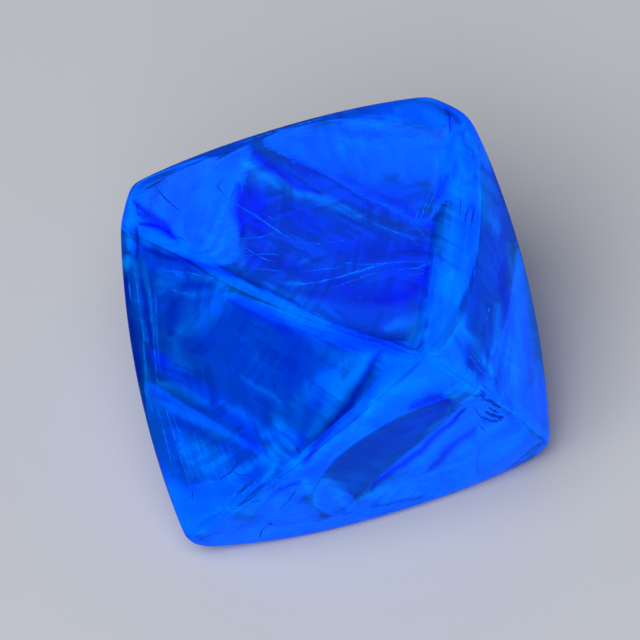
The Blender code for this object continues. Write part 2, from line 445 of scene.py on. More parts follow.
def store_bands(crystal):
    """Writes the bands on the crystal's points: the painted glow and painted blue glow they add, and the
    painted shade that darkens the colour and glow.
    """
    mesh = crystal.data
    spots = spots_in_view(point_vectors(mesh, "co"))
    spots = spots + np.stack((wave_shift(spots, WAVES_ACROSS), wave_shift(spots, WAVES_DOWN)), axis=1)
    facing = point_vectors(mesh, "normal") @ np.array(camera_axes()[0])
    seen = np.clip(facing / FACING_FADE, 0.0, 1.0)
    glow, blue = np.zeros((2, len(spots)))
    painted_shade_factor = np.ones((len(spots), 3))
    # A band above zero adds painted glow; one below zero is painted shade that darkens green, and blue by
    # a smaller share.
    for width, strength, *route in GLOW_AND_SHADE_BANDS:
        share = band_share(spots, width, route) * seen
        glow += share * max(strength, 0.0)
        painted_shade_factor[:, 1] *= 1.0 + share * min(strength, 0.0)
        painted_shade_factor[:, 2] *= 1.0 + share * min(strength, 0.0) * SHADE_BLUE_SHARE
    # A blue band above zero adds painted blue glow; one below zero is painted shade that takes blue away.
    for width, strength, *route in BLUE_GLOW_AND_SHADE_BANDS:
        share = band_share(spots, width, route) * seen
        blue += share * max(strength, 0.0)
        painted_shade_factor[:, 2] *= 1.0 + share * min(strength, 0.0)
    mesh.attributes.new("glow", "FLOAT", "POINT").data.foreach_set("value", glow)
    mesh.attributes.new("blue", "FLOAT", "POINT").data.foreach_set("value", blue)
    mesh.attributes.new("painted_shade_factor", "FLOAT_VECTOR", "POINT").data.foreach_set("vector", painted_shade_factor.ravel())


# --- Growth lines and cracks ---

# Fine lines on the crystal, the bright ones lit by painted glow in their material: each one's width in
# pixels, and the pixels that it runs through.
BRIGHT_LINES = (
    # top face, left
    (2.0, (234, 204), (253, 214), (281, 233), (290, 238)),
    (1.5, (241, 239), (261, 237), (274, 233)),
    (1.1, (244, 256), (262, 254), (281, 255)),
    (1.2, (255, 269), (279, 271)),
    (1.1, (243, 246), (260, 257), (276, 263)),
    (0.8, (262, 213), (275, 220)),
    # top face, middle
    (2.3, (279, 282), (304, 284), (320, 282), (340, 277), (363, 270), (386, 263), (430, 262)),
    (1.5, (335, 287), (360, 278), (376, 272)),
    (1.2, (340, 262), (365, 265), (388, 263)),
    (0.9, (300, 272), (335, 268), (352, 263)),
    (1.1, (397, 270), (418, 268), (434, 262)),
    (1.0, (404, 277), (420, 274), (432, 270)),
    (0.8, (290, 242), (320, 244), (345, 240)),
    # top face, right
    (1.5, (432, 187), (423, 212), (416, 227)),
    (1.0, (438, 186), (425, 215)),
    (0.9, (446, 172), (438, 198), (430, 224)),
    (0.9, (453, 180), (448, 205), (444, 232)),
    (0.9, (424, 194), (417, 214), (411, 234)),
    (0.9, (462, 168), (460, 195), (455, 222)),
    (1.0, (412, 222), (424, 236), (436, 247)),
    (0.9, (404, 232), (420, 247)),
    (1.1, (350, 190), (380, 203), (410, 213)),
    (1.0, (370, 222), (395, 232), (420, 240)),
    # right face
    (1.5, (479, 245), (475, 264), (473, 294)),
    (1.3, (472, 253), (468, 279), (468, 300)),
    (0.9, (466, 262), (464, 285)),
    (1.1, (470, 350), (486, 370), (505, 392)),
    (1.1, (462, 345), (478, 368), (498, 388)),
    (2.2, (489, 307), (488, 313)),
    (2.0, (486, 316), (487, 321)),
    # ridge from the blunt left corner to the low left corner
    (1.5, (128, 274), (130, 290), (132, 306)),
    (1.2, (134, 266), (138, 292), (143, 330)),
    (1.6, (140, 308), (144, 336), (145, 365), (147, 389), (152, 405)),
    (1.4, (146, 270), (149, 290), (152, 317), (154, 341), (156, 365), (158, 388), (161, 412)),
    (1.0, (158, 317), (157, 337), (159, 360), (161, 372)),
    (1.2, (156, 285), (156, 310), (157, 345)),
    (1.7, (164, 400), (172, 430), (181, 458), (191, 487), (191, 507)),
    (1.1, (157, 400), (166, 440), (176, 480)),
    (1.0, (172, 425), (180, 446), (188, 462)),
    (0.9, (173, 416), (179, 431), (182, 441)),
    # low left corner
    (1.3, (194, 488), (208, 482), (219, 480)),
    (1.9, (201, 513), (230, 507), (257, 503), (283, 481), (315, 459)),
    (1.6, (228, 499), (247, 484), (260, 477)),
    (1.3, (240, 503), (262, 490), (278, 478)),
    (1.1, (236, 520), (250, 515), (262, 507)),
    (1.3, (278, 506), (290, 496), (301, 484)),
    (1.8, (266, 470), (276, 473)),
    (1.5, (240, 497), (251, 486), (262, 475)),
    # ridge from the blunt left corner to the front corner
    (1.3, (160, 270), (190, 273), (218, 279), (245, 291)),
    (1.0, (168, 289), (200, 297)),
    (1.2, (300, 305), (330, 321)),
)

DARK_LINES = (
    # blunt left corner
    (2.2, (144, 190), (154, 185), (166, 178)),
    (1.5, (155, 186), (164, 198), (183, 213)),
    (1.5, (167, 176), (207, 158), (238, 150)),
    (1.3, (223, 178), (217, 187), (225, 196)),
    (1.0, (229, 200), (235, 190)),
    (2.4, (123, 252), (131, 253)),
    (2.2, (136, 226), (138, 240), (137, 259)),
    (1.4, (136, 202), (140, 218)),
    (1.4, (176, 236), (188, 242)),
    # ridge from the blunt left corner to the low left corner
    (1.8, (143, 277), (147, 305), (149, 332)),
    (1.4, (150, 268), (153, 295), (154, 320)),
    (1.4, (162, 405), (170, 425), (174, 438)),
    # low left corner
    (2.2, (219, 480), (232, 471), (238, 463), (238, 456)),
    (1.5, (233, 472), (241, 475), (248, 475)),
    (1.3, (193, 487), (192, 500)),
    (2.0, (236, 495), (246, 486), (257, 478)),
    (1.4, (279, 511), (290, 498), (298, 488)),
    (1.3, (262, 530), (268, 525)),
    (1.8, (260, 538), (262, 529)),
    (3.0, (268, 523), (272, 524)),
    (3.0, (296, 446), (300, 455)),
    (2.2, (286, 486), (298, 483)),
    # ridge from the rear right corner to the front corner
    (1.8, (470, 202), (466, 214), (465, 226)),
    (1.8, (475, 206), (472, 218), (471, 230)),
    (1.6, (461, 196), (460, 216)),
    (1.6, (449, 108), (450, 135)),
    # low right corner
    (4.0, (486, 399), (493, 403), (501, 408)),
    (5.0, (484, 411), (493, 415), (504, 418)),
    (3.4, (487, 423), (492, 420), (498, 422)),
    (1.6, (480, 389), (486, 396)),
    (1.6, (481, 398), (483, 402)),
    (1.1, (473, 406), (480, 416), (487, 426)),
    (2.0, (479, 392), (484, 399), (488, 402)),
    (2.6, (488, 407), (494, 411), (499, 413)),
    (2.4, (481, 416), (486, 419), (492, 420)),
    (2.0, (497, 419), (503, 421)),
    (1.1, (478, 424), (486, 432)),
    (1.6, (494, 377), (497, 383)),
    (2.0, (452, 421), (461, 412), (467, 408)),
)

# Lines at random on the rear faces: how many on each face, the longest as a share of the face, and
# the seed.
REAR_BRIGHT_LINES = (9, 0.35, 4)
REAR_DARK_LINES = (3, 0.12, 9)

REAR_FACES = ("rear_high", "rear_left", "rear_right")
REAR_LINE_POINTS = 7
REAR_LINE_WIDTHS = (0.8, 1.8)            # pixels
SHORTEST_REAR_LINE = 0.3                 # as a share of the longest
REAR_LINE_BEND = 0.02
RIM_CLEARANCE = 0.02                     # keeps the lines off the face's rim, as a share of the face


def front_lines(surface, lines):
    """Lines that lie on the crystal where the camera sees them: their places and width in pixels."""
    for width, *route in lines:
        yield [place_on_crystal(surface, spot) for spot in route], width


def rear_lines(surface, count, longest, seed):
    """Lines along the rear faces' own edges: their places and width in pixels."""
    chance = np.random.default_rng(seed)
    turn = upright_matrix()
    for name in REAR_FACES:
        signs = np.array(FACES[name].indices)
        for _ in range(count):
            start = chance.dirichlet((1.0, 1.0, 1.0))
            edge = np.roll((1.0, -1.0, 0.0), chance.integers(3))
            along = edge * chance.uniform(SHORTEST_REAR_LINE, 1.0) * longest
            bend = chance.normal(0.0, REAR_LINE_BEND, 3)
            places = []
            for share in np.linspace(-0.5, 0.5, REAR_LINE_POINTS):
                weights = np.maximum(start + along * share + bend * share**2, RIM_CLEARANCE)
                direction = turn @ Vector(weights * signs).normalized()
                places.append(surface.ray_cast(MIDDLE * MM, direction)[0])
            yield places, chance.uniform(*REAR_LINE_WIDTHS)


def line_routes(name, lines):
    """A mesh of edges that runs along every line's places, with the lines' widths."""
    routes = bmesh.new()
    width = routes.verts.layers.float.new("width")
    for places, pixels in lines:
        points = [routes.verts.new(place) for place in places]
        for point in points:
            point[width] = pixels / PIXELS_PER_MM * MM
        for pair in itertools.pairwise(points):
            routes.edges.new(pair)
    mesh = bpy.data.meshes.new(name + "_routes")
    routes.to_mesh(mesh)
    routes.free()
    return mesh


# --- Settings ---

COLOUR = {"subtype": "COLOR", "min": 0.0, "max": 1.0}
SHARE = {"subtype": "FACTOR", "min": 0.0, "max": 1.0}


class DiamondCrystalSettings(bpy.types.PropertyGroup):
    """Form and finish of the crystal."""

    detail: IntProperty(
        name="Detail", description="How often the octahedron is divided", default=DETAIL, min=3, max=7
    )
    sharpness: FloatProperty(
        name="Sharpness", description="Higher is sharper between faces", default=SHARPNESS, min=10.0
    )
    steps: FloatProperty(
        name="Growth layers", description="Layers that end on each face", default=GROWTH_LAYERS, min=0.0
    )
    step_height: FloatProperty(
        name="Step height",
        description="Height of the tallest growth step, in millimetres",
        default=STEP_HEIGHT,
        min=0.0,
        precision=4,
    )
    body_colour: FloatVectorProperty(
        name="Body colour",
        description="Tint of light that goes in and out of the stone",
        default=(0.0, 0.05, 0.63),
        **COLOUR,
    )
    # Painted glow: the whole stone gives off this light though it is no lamp, in place of its
    # fluorescence under ultraviolet light.
    glow_colour: FloatVectorProperty(
        name="Glow colour",
        description="Fluorescence under ultraviolet light",
        default=(0.0, 0.030, 0.115),
        **COLOUR,
    )
    # Painted glow that the bright bands add on top of the stone's own painted glow.
    band_colour: FloatVectorProperty(
        name="Band colour",
        description="Fluorescence that the brighter growth bands add",
        default=(0.0, 0.030, 0.095),
        **COLOUR,
    )
    # Painted deep blue glow that the blue bands add.
    blue_colour: FloatVectorProperty(
        name="Deep blue",
        description="Fluorescence that the blue bands add",
        default=(0.0, 0.0, 0.36),
        **COLOUR,
    )
    mirror_colour: FloatVectorProperty(
        name="Mirror colour",
        description="Tint of what the faces mirror",
        default=(0.0, 0.2, 1.0),
        **COLOUR,
    )


class DiamondMarkSettings(bpy.types.PropertyGroup):
    """Fine lines, cracks and specks."""

    # Painted glow of the growth lines, hillocks and pinpoints: they give off this light though they are
    # no lamp.
    line_colour: FloatVectorProperty(
        name="Line glow",
        description="Light of the growth lines and specks",
        default=(0.0, 0.13, 0.9),
        **COLOUR,
    )
    line_opacity: FloatProperty(
        name="Line opacity", description="How much the lines hide", default=0.8, **SHARE
    )
    # Faint painted glow of the cracks: they give off this light though they are no lamp.
    crack_colour: FloatVectorProperty(
        name="Crack glow",
        description="What little light comes from the cracks",
        default=(0.0, 0.02, 0.35),
        **COLOUR,
    )
    crack_opacity: FloatProperty(
        name="Crack opacity", description="How much the cracks hide", default=0.9, **SHARE
    )


class DiamondStageSettings(bpy.types.PropertyGroup):
    """Floor, lights and camera."""

    floor_colour: FloatVectorProperty(
        name="Floor colour", description="Pale table top", default=(0.70, 0.72, 0.75), **COLOUR
    )
    key_power: FloatProperty(
        name="Key light", description="Soft light from the front", default=0.75, min=0.0, unit="POWER"
    )
    sheet_power: FloatProperty(
        name="Rear sheet",
        description="Wide glow that the top face mirrors",
        default=0.03,
        min=0.0,
        unit="POWER",
    )
    sky_strength: FloatProperty(
        name="Room light", description="Brightness of the room around the stone", default=0.05, min=0.0
    )


SETTINGS = {
    "diamond_crystal_settings": DiamondCrystalSettings,
    "diamond_mark_settings": DiamondMarkSettings,
    "diamond_stage_settings": DiamondStageSettings,
}


# --- Node helpers ---


class Graph:
    """Adds nodes to a tree and links them, so that a rule reads like a formula."""

    def __init__(self, tree):
        self.tree = tree

    def feed(self, socket, value):
        if isinstance(value, bpy.types.NodeSocket):
            self.tree.links.new(value, socket)
        elif value is not None:
            socket.default_value = value

    def node(self, kind, *values, named=None, **settings):
        node = self.tree.nodes.new(kind)
        for name, value in settings.items():
            setattr(node, name, value)
        for place, value in enumerate(values):
            self.feed(node.inputs[place], value)
        for name, value in (named or {}).items():
            self.feed(node.inputs[name], value)
        return node

    def out(self, kind, *values, **settings):
        """The first output of a new node."""
        return self.node(kind, *values, **settings).outputs[0]

    def group(self, group, **named):
        """The first output of a node group that is placed here with its own values."""
        kind = "GeometryNodeGroup" if group.bl_idname == "GeometryNodeTree" else "ShaderNodeGroup"
        return self.out(kind, named=titled(named), node_tree=group)

    def attribute(self, name, output="Fac"):
        return self.node("ShaderNodeAttribute", attribute_name=name).outputs[output]

    def math(self, operation, *values):
        return self.out("ShaderNodeMath", *values, operation=operation)

    def product(self, first, *others):
        for other in others:
            first = self.math("MULTIPLY", first, other)
        return first

    def total(self, first, *others):
        for other in others:
            first = self.math("ADD", first, other)
        return first

    def vector(self, operation, *values):
        node = self.node("ShaderNodeVectorMath", *values, operation=operation)
        return node.outputs["Value" if operation == "DOT_PRODUCT" else "Vector"]

    def scale(self, vector, factor):
        return self.out("ShaderNodeVectorMath", vector, operation="SCALE", named={"Scale": factor})

    def ramp(self, value, low, high, to_low=0.0, to_high=1.0, shape="SMOOTHSTEP"):
        return self.out("ShaderNodeMapRange", value, low, high, to_low, to_high, interpolation_type=shape)

    def noise(self, place, scale, detail, **named):
        values = {"Vector": place, "Scale": scale, "Detail": detail} | titled(named)
        return self.node("ShaderNodeTexNoise", named=values).outputs

    def crystal(self, piece):
        """The geometry of the crystal that a tree is given as an object."""
        return self.node("GeometryNodeObjectInfo", named={"Object": piece}).outputs["Geometry"]

    def moved(self, geometry, place):
        return self.out("GeometryNodeSetPosition", named={"Geometry": geometry, "Position": place})

    def finished(self, geometry, material):
        real = self.out("GeometryNodeRealizeInstances", geometry)
        return self.out("GeometryNodeSetMaterial", named={"Geometry": real, "Material": material})


def titled(named):
    """Turns keywords into the titles of sockets."""
    return {name.replace("_", " ").capitalize(): value for name, value in named.items()}


def new_group(name, kind, inputs, outputs):
    """A node group with named sockets: its Graph, what it is given, and what it puts out.

    An input is given as the kind of its socket, or as the default of a number.
    """
    tree = bpy.data.node_groups.new(name, kind)
    for title, value in inputs.items():
        socket = value if isinstance(value, str) else type(value).__name__.capitalize()
        made = tree.interface.new_socket(title, in_out="INPUT", socket_type="NodeSocket" + socket)
        if socket is not value:
            made.default_value = value
    for title, socket in outputs.items():
        tree.interface.new_socket(title, in_out="OUTPUT", socket_type="NodeSocket" + socket)
    graph = Graph(tree)
    return graph, graph.node("NodeGroupInput").outputs, graph.node("NodeGroupOutput").inputs


def built_once(build):
    """Names a group for its function, builds it at the first call and finds it again at later ones."""
    name = build.__name__.replace("_", " ")

    def found_or_built():
        return bpy.data.node_groups.get(name) or build(name)

    return found_or_built


def set_input(modifier, title, value):
    for item in modifier.node_group.interface.items_tree:
        if item.item_type == "SOCKET" and item.in_out == "INPUT" and item.name == title:
            modifier[item.identifier] = value
            return
    raise RuntimeError(f"{modifier.node_group.name} has no input named {title}")


def grow(name, tree, start=None, **inputs):
    """Runs a geometry tree on a start mesh, and makes what grows a plain piece of its own."""
    start = start or bpy.data.meshes.new(name + "_start")
    grower = bpy.data.objects.new(name + "_grower", start)
    bpy.context.scene.collection.objects.link(grower)
    modifier = grower.modifiers.new(name, "NODES")
    modifier.node_group = tree
    for title, value in titled(inputs).items():
        set_input(modifier, title, value)
    mesh = bpy.data.meshes.new_from_object(grower.evaluated_get(bpy.context.evaluated_depsgraph_get()))
    if not mesh.polygons:
        raise RuntimeError(f"{name} came out empty")
    mesh.name = name
    bpy.data.objects.remove(grower)
    bpy.data.meshes.remove(start)
    piece = bpy.data.objects.new(name, mesh)
    bpy.context.scene.collection.objects.link(piece)
    return piece


# --- The crystal's surface ---

UNIT_REACH = 3.0     # mm: nearness is counted in this, which keeps its high powers small
LEAST_FACING = 1e-4  # keeps a plateau that is seen edge-on from a division by zero

# The growth layers' terraces. Each tread rises slowly and ends in a drop at its rim.
TERRACE_NOISE = {"scale": 2.5, "detail": 3.0}
TREAD_POWER = 3.0
TREAD_MEAN = 0.25                       # taken off, so that the treads add nothing on the whole
TERRACE_FADE = (0.05, 0.6, 1.0, 0.15)   # full height by a face's edges, and little by its middle


@built_once
def domed_face(name):
    """Nearness of one domed face with its plateau, along a direction: the inverse of its distance."""
    graph, given, made = new_group(
        name,
        "GeometryNodeTree",
        {
            "Direction": "Vector",
            "Normal": "Vector",
            "Dome centre": "Vector",
            "Dome radius": 17.0,
            "Plateau": 3.0,
        },
        {"Nearness": "Float"},
    )
    along = graph.vector("DOT_PRODUCT", given["Direction"], given["Dome centre"])
    apart = graph.vector("DOT_PRODUCT", given["Dome centre"], given["Dome centre"])
    under = graph.math("SUBTRACT", graph.product(along, along), apart)
    under = graph.total(under, graph.product(given["Dome radius"], given["Dome radius"]))
    dome = graph.total(along, graph.math("SQRT", under))
    facing = graph.vector("DOT_PRODUCT", given["Direction"], given["Normal"])
    plateau = graph.math("DIVIDE", given["Plateau"], graph.math("MAXIMUM", facing, LEAST_FACING))
    reach = graph.math("MINIMUM", dome, plateau)
    graph.feed(made["Nearness"], graph.math("DIVIDE", UNIT_REACH, reach))
    return graph.tree


@built_once
def crystal_surface(name):
    """Distance from the crystal's middle to its surface along a direction, both in crystal axes."""
    graph, given, made = new_group(
        name, "GeometryNodeTree", {"Direction": "Vector", "Sharpness": SHARPNESS}, {"Reach": "Float"}
    )
    direction = given["Direction"]
    nearness = []
    for face in FACES.values():
        near = graph.group(
            domed_face(),
            direction=direction,
            normal=Vector(face.indices).normalized(),
            dome_centre=dome_centre(face),
            dome_radius=face.dome_radius,
            plateau=face.crown - face.plateau_drop,
        )
        nearness.append(near)
    for indices, distance in EDGE_FACETS.items():
        facing = graph.vector("DOT_PRODUCT", direction, Vector(indices).normalized())
        nearness.append(graph.product(graph.math("MAXIMUM", facing, 0.0), UNIT_REACH / distance))
    powers = [graph.math("POWER", near, given["Sharpness"]) for near in nearness]
    blended = graph.math("POWER", graph.total(*powers), graph.math("DIVIDE", 1.0, given["Sharpness"]))
    graph.feed(made["Reach"], graph.math("DIVIDE", UNIT_REACH, blended))
    return graph.tree


@built_once
def growth_steps(name):
    """Relief of the growth layers: triangular terraces round each face's middle."""
    graph, given, made = new_group(
        name,
        "GeometryNodeTree",
        {"Direction": "Vector", "Steps": GROWTH_LAYERS, "Height": STEP_HEIGHT, "Wander": 0.03},
        {"Relief": "Float"},
    )
    axes = graph.node("ShaderNodeSeparateXYZ", given["Direction"]).outputs
    sizes = [graph.math("ABSOLUTE", axis) for axis in axes]
    least = graph.math("MINIMUM", graph.math("MINIMUM", sizes[0], sizes[1]), sizes[2])
    # 0 at a face's edges and 1 in its middle, where the three sizes are equal
    inward = graph.product(graph.math("DIVIDE", least, graph.total(*sizes)), 3.0)
    noise = graph.noise(given["Direction"], **TERRACE_NOISE)["Fac"]
    shift = graph.product(graph.math("SUBTRACT", noise, 0.5), given["Wander"])
    layer = graph.product(graph.total(inward, shift), given["Steps"])
    uneven = graph.out(
        "ShaderNodeTexWhiteNoise", noise_dimensions="1D", named={"W": graph.math("FLOOR", layer)}
    )
    tread = graph.math("POWER", graph.math("FRACT", layer), TREAD_POWER)
    tread = graph.product(graph.math("SUBTRACT", tread, TREAD_MEAN), uneven)
    relief = graph.product(tread, graph.ramp(inward, *TERRACE_FADE), given["Height"])
    graph.feed(made["Relief"], relief)
    return graph.tree


@built_once
def grown_octahedron(name):
    """A finely divided octahedron, drawn out to the crystal's surface and stood on its base face."""
    graph, given, made = new_group(
        name,
        "GeometryNodeTree",
        {
            "Geometry": "Geometry",
            "Detail": DETAIL,
            "Sharpness": SHARPNESS,
            "Crowding": 1.5,
            "Steps": GROWTH_LAYERS,
            "Step height": STEP_HEIGHT,
            "Material": "Material",
        },
        {"Geometry": "Geometry"},
    )
    octahedron = graph.out("GeometryNodeDualMesh", graph.out("GeometryNodeMeshCube", (2.0, 2.0, 2.0)))
    fine = graph.out("GeometryNodeSubdivideMesh", octahedron, given["Detail"])
    axes = graph.node("ShaderNodeSeparateXYZ", graph.out("GeometryNodeInputPosition")).outputs
    crowded = []
    for axis in axes:
        size = graph.math("POWER", graph.math("ABSOLUTE", axis), given["Crowding"])
        crowded.append(graph.product(size, graph.math("SIGN", axis)))
    direction = graph.vector("NORMALIZE", graph.out("ShaderNodeCombineXYZ", *crowded))
    reach = graph.group(crystal_surface(), direction=direction, sharpness=given["Sharpness"])
    relief = graph.group(
        growth_steps(), direction=direction, steps=given["Steps"], height=given["Step height"]
    )
    spot = graph.scale(direction, graph.total(reach, relief))
    kept = graph.out(
        "GeometryNodeStoreNamedAttribute",
        data_type="FLOAT_VECTOR",
        domain="POINT",
        named={"Geometry": graph.moved(fine, spot), "Name": "crystal_mm", "Value": spot},
    )
    turned = graph.out(
        "GeometryNodeTransform",
        named={
            "Geometry": kept,
            "Translation": MIDDLE * MM,
            "Rotation": upright_matrix().to_euler(),
            "Scale": (MM, MM, MM),
        },
    )
    smooth = graph.out("GeometryNodeSetShadeSmooth", turned)
    graph.feed(made["Geometry"], graph.finished(smooth, given["Material"]))
    return graph.tree


def finished_crystal():
    """The finished crystal, and a tree for casting rays onto it."""
    crystal = bpy.data.objects.get("crystal")
    if crystal is None:
        raise RuntimeError("grow the crystal first")
    return crystal, BVHTree.FromObject(crystal, bpy.context.evaluated_depsgraph_get())


# --- Fine lines and specks ---

LINE_NOISE = {"scale": 6000.0, "detail": 2.0}
LINE_SWELL = (0.3, 0.7, 0.7, 1.3)        # a line is thicker and thinner by turns
WANDER_REACH = 4.0                       # the noise seldom strays further than 1 / 4 from its mean
TAPER_POWER = 0.5                        # lower keeps a line thick for longer before its tips
THINNEST_LINE = 1e-6

SPECK_SIDES = 3
SPECK_HEIGHT = 0.6                       # next to its radius
FEW_LARGE = 3.0                          # higher makes large specks rarer
DEPTH_SEED = 3
SIZE_SEED = 8
PINPOINTS = {"density": 1.0e6, "depth": 0.5, "seed": 11}


@built_once
def line_tubes(name):
    """Turns routes of edges into fine tapered tubes that follow the crystal's surface."""
    graph, given, made = new_group(
        name,
        "GeometryNodeTree",
        {
            "Geometry": "Geometry",
            "Crystal": "Object",
            "Spacing": 0.00004,
            "Wander": 0.000012,
            "Sides": 6,
            "Material": "Material",
        },
        {"Geometry": "Geometry"},
    )
    curve = graph.out("GeometryNodeMeshToCurve", given["Geometry"])
    even = graph.out(
        "GeometryNodeResampleCurve", mode="LENGTH", named={"Curve": curve, "Length": given["Spacing"]}
    )
    place = graph.out("GeometryNodeInputPosition")
    noise = graph.noise(place, **LINE_NOISE)
    shake = graph.vector("SUBTRACT", noise["Color"], (0.5, 0.5, 0.5))
    shaken = graph.vector("ADD", place, graph.scale(shake, graph.product(given["Wander"], WANDER_REACH)))
    nearest = graph.out(
        "GeometryNodeProximity",
        target_element="FACES",
        named={"Geometry": graph.crystal(given["Crystal"]), "Sample Position": shaken},
    )
    along = graph.node("GeometryNodeSplineParameter").outputs["Factor"]
    taper = graph.math("POWER", graph.math("SINE", graph.product(along, math.pi)), TAPER_POWER)
    width = graph.out("GeometryNodeInputNamedAttribute", data_type="FLOAT", named={"Name": "width"})
    thickness = graph.product(taper, graph.ramp(noise["Fac"], *LINE_SWELL))
    radius = graph.math("MAXIMUM", graph.product(graph.product(width, 0.5), thickness), THINNEST_LINE)
    laid = graph.moved(even, nearest)
    tube = graph.out(
        "GeometryNodeCurveToMesh",
        named={
            "Curve": graph.out("GeometryNodeSetCurveRadius", named={"Curve": laid, "Radius": radius}),
            "Profile Curve": graph.out(
                "GeometryNodeCurvePrimitiveCircle", named={"Resolution": given["Sides"], "Radius": 1.0}
            ),
            "Scale": radius,
            "Fill Caps": True,
        },
    )
    smooth = graph.out("GeometryNodeSetShadeSmooth", tube)
    graph.feed(made["Geometry"], graph.finished(smooth, given["Material"]))
    return graph.tree


@built_once
def scattered_specks(name):
    """Small three-sided hillocks, scattered over the crystal or sunk towards its middle."""
    graph, given, made = new_group(
        name,
        "GeometryNodeTree",
        {
            "Geometry": "Geometry",
            "Crystal": "Object",
            "Density": 3.0e6,
            "Smallest": 0.000006,
            "Largest": 0.000020,
            "Depth": 0.0,
            "Seed": 5,
            "Material": "Material",
        },
        {"Geometry": "Geometry"},
    )
    crystal = graph.crystal(given["Crystal"])
    scatter = graph.node(
        "GeometryNodeDistributePointsOnFaces",
        named={"Mesh": crystal, "Density": given["Density"], "Seed": given["Seed"]},
    )
    depth, size = (
        graph.node("FunctionNodeRandomValue", data_type="FLOAT", named={"Seed": seed}).outputs[1]
        for seed in (DEPTH_SEED, SIZE_SEED)
    )
    place = graph.out("GeometryNodeInputPosition")
    inward = graph.vector("SUBTRACT", tuple(MIDDLE * MM), place)
    sunk = graph.vector("ADD", place, graph.scale(inward, graph.product(depth, given["Depth"])))
    speck = graph.out(
        "GeometryNodeMeshCone",
        named={"Vertices": SPECK_SIDES, "Radius Top": 0.0, "Radius Bottom": 1.0, "Depth": SPECK_HEIGHT},
    )
    spread = graph.math("POWER", size, FEW_LARGE)
    placed = graph.out(
        "GeometryNodeInstanceOnPoints",
        named={
            "Points": graph.moved(scatter.outputs["Points"], sunk),
            "Instance": speck,
            "Rotation": scatter.outputs["Rotation"],
            "Scale": graph.ramp(spread, 0.0, 1.0, given["Smallest"], given["Largest"], "LINEAR"),
        },
    )
    graph.feed(made["Geometry"], graph.finished(placed, given["Material"]))
    return graph.tree


# --- Materials ---

DIAMOND_IOR = 2.417
DIAMOND_ROUGHNESS = 0.07
STRIAE_HEIGHT = 0.001                    # mm
STRIAE_LIGHT = (0.25, 0.75, 0.72, 1.28)  # the striae glow a little more and less by turns

# Striae, fine growth lines in the finish: long across an axis and narrow along it.
ALONG_AXIS = 5.0
ACROSS_AXIS = 0.35
STRIAE_NOISE = {"scale": 1.0, "detail": 4.0, "roughness": 0.6, "distortion": 0.2}
STRIAE_PATCHES = {"scale": 0.8, "detail": 1.0}
STRIAE_PATCH_EDGE = (0.4, 0.6)
STRIAE_CONTRAST = (0.25, 0.75)
PATCH_SPREAD = Vector((7.0, 0.0, 3.0))   # sets each axis's patches apart from the next one's

PATCH_NOISE = {"detail": 5.0, "roughness": 0.6}
PATCH_CONTRAST = (0.3, 0.7)

MARK_PATCHES = {"scale": 9000.0, "lowest": 0.35}
MARK_ROUGHNESS = 0.3
LINE_BODY = (0.0, 0.1, 0.5)
CRACK_BODY = (0.0, 0.02, 0.1)
SPECK_BODY = (0.0, 0.2, 0.6)

TABLE_PATCHES = {"scale": 60.0, "lowest": 0.97}
TABLE_ROUGHNESS = 0.6


def new_material(name):
    """A material, the Graph of its nodes, and the inputs of its shader."""
    material = bpy.data.materials.new(name)
    material.use_nodes = True
    graph = Graph(material.node_tree)
    return material, graph, material.node_tree.nodes["Principled BSDF"].inputs


@built_once
def growth_lines(name):
    """Fine uneven lines parallel to the edges of every face: growth layers of each of the three axes."""
    graph, given, made = new_group(name, "ShaderNodeTree", {"Position": "Vector"}, {"Lines": "Float"})
    lines = [0.5]
    for axis in range(3):
        stretch = [ACROSS_AXIS] * 3
        stretch[axis] = ALONG_AXIS
        striae = graph.noise(graph.vector("MULTIPLY", given["Position"], stretch), **STRIAE_NOISE)["Fac"]
        apart = graph.vector("ADD", given["Position"], PATCH_SPREAD * axis)
        shown = graph.ramp(graph.noise(apart, **STRIAE_PATCHES)["Fac"], *STRIAE_PATCH_EDGE)
        lines.append(graph.product(graph.math("SUBTRACT", striae, 0.5), shown))
    graph.feed(made["Lines"], graph.ramp(graph.total(*lines), *STRIAE_CONTRAST))
    return graph.tree


@built_once
def uneven_patches(name):
    """A soft uneven mask: patches within patches, for colours that are never quite even."""
    graph, given, made = new_group(
        name, "ShaderNodeTree", {"Position": "Vector", "Scale": 1.0, "Lowest": 0.0}, {"Mask": "Float"}
    )
    noise = graph.noise(given["Position"], given["Scale"], **PATCH_NOISE)["Fac"]
    graph.feed(made["Mask"], graph.ramp(noise, *PATCH_CONTRAST, given["Lowest"], 1.0))
    return graph.tree


